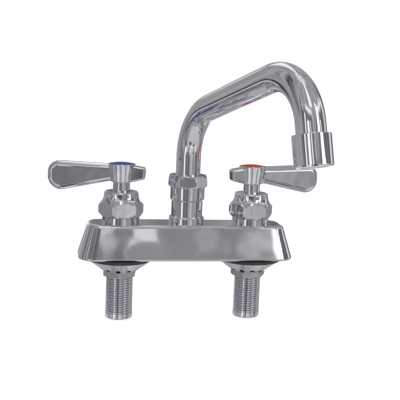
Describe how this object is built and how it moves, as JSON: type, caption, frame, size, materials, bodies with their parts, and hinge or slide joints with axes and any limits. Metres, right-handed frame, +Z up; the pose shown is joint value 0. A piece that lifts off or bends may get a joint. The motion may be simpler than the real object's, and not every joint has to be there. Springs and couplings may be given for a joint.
{
  "type": "deck-mounted mixer tap",
  "caption": "Chrome deck-mounted mixer tap: drafted base, lever handles with coloured index caps, swivelling bent-tube spout with aerator, threaded inlet shanks and deck clamps.",
  "frame": {"origin": "midway between the shank axes on the deck plane, the underside of the body", "axes": "+X towards the hot handle, -Y towards the user, +Z up"},
  "size_m": [0.2124, 0.1801, 0.1982],
  "materials": {
    "chrome": "polished",
    "chrome_thread": "satin",
    "zinc_plated": "matte plated",
    "steel": "satin",
    "brass": "machined",
    "rubber": "matte",
    "nylon": "matte",
    "ceramic": "lapped",
    "cold_index": "gloss",
    "hot_index": "gloss"
  },
  "bodies": {
    "tap_body": {"body": "chrome", "spout_post": "chrome", "spout_post_seal": "rubber", "swivel_nut": "chrome", "spout_bearing_washer": "nylon", "cold_shank": "chrome_thread", "cold_bonnet": "chrome", "cold_bonnet_seal": "rubber", "cold_cartridge_housing": "brass", "cold_seat_seal": "rubber", "cold_fixed_disc": "ceramic", "cold_thrust_washer": "nylon", "hot_shank": "chrome_thread", "hot_bonnet": "chrome", "hot_bonnet_seal": "rubber", "hot_cartridge_housing": "brass", "hot_seat_seal": "rubber", "hot_fixed_disc": "ceramic", "hot_thrust_washer": "nylon"},
    "cold_handle": {"cold_handle": "chrome", "cold_handle_screw": "steel", "cold_index_cap": "cold_index", "cold_stem": "brass", "cold_stem_seal": "rubber", "cold_moving_disc": "ceramic"},
    "cold_washers": {"cold_rubber_washer": "rubber", "cold_dished_washer": "zinc_plated"},
    "cold_nut": {"cold_lock_nut": "zinc_plated"},
    "hot_handle": {"hot_handle": "chrome", "hot_handle_screw": "steel", "hot_index_cap": "hot_index", "hot_stem": "brass", "hot_stem_seal": "rubber", "hot_moving_disc": "ceramic"},
    "hot_washers": {"hot_rubber_washer": "rubber", "hot_dished_washer": "zinc_plated"},
    "hot_nut": {"hot_lock_nut": "zinc_plated"},
    "spout": {"spout_tube": "chrome", "spout_collar": "brass", "spout_ferrule": "brass", "spout_seals": "rubber", "aerator_housing": "chrome", "aerator_washer": "rubber", "aerator_screen": "steel", "aerator_insert": "nylon"}
  },
  "joints": [
    {"name": "cold_handle_turn", "type": "hinge", "parent": "tap_body", "child": "cold_handle", "pos_m": [-0.0508, 0, 0.0504], "axis": [0, 0, 1], "range_deg": [0, 90]},
    {"name": "cold_washer_slide", "type": "slide", "parent": "tap_body", "child": "cold_washers", "axis": [0, 0, 1], "range_m": [-0.0272, 0]},
    {"name": "cold_nut_turn", "type": "hinge", "parent": "cold_washers", "child": "cold_nut", "pos_m": [-0.0508, 0, -0.013], "axis": [0, 0, 1], "range_deg": [-5400, 0]},
    {"name": "hot_handle_turn", "type": "hinge", "parent": "tap_body", "child": "hot_handle", "pos_m": [0.0508, 0, 0.0504], "axis": [0, 0, 1], "range_deg": [-90, 0]},
    {"name": "hot_washer_slide", "type": "slide", "parent": "tap_body", "child": "hot_washers", "axis": [0, 0, 1], "range_m": [-0.0272, 0]},
    {"name": "hot_nut_turn", "type": "hinge", "parent": "hot_washers", "child": "hot_nut", "pos_m": [0.0508, 0, -0.013], "axis": [0, 0, 1], "range_deg": [-5400, 0]},
    {"name": "spout_swing", "type": "hinge", "parent": "tap_body", "child": "spout", "pos_m": [0, 0, 0.06], "axis": [0, 0, 1], "continuous": true}
  ],
  "couplings": [
    {"joint": "cold_nut_turn", "follows": "cold_washer_slide", "rad_per_m": 3463.2},
    {"joint": "hot_nut_turn", "follows": "hot_washer_slide", "rad_per_m": 3463.2}
  ]
}
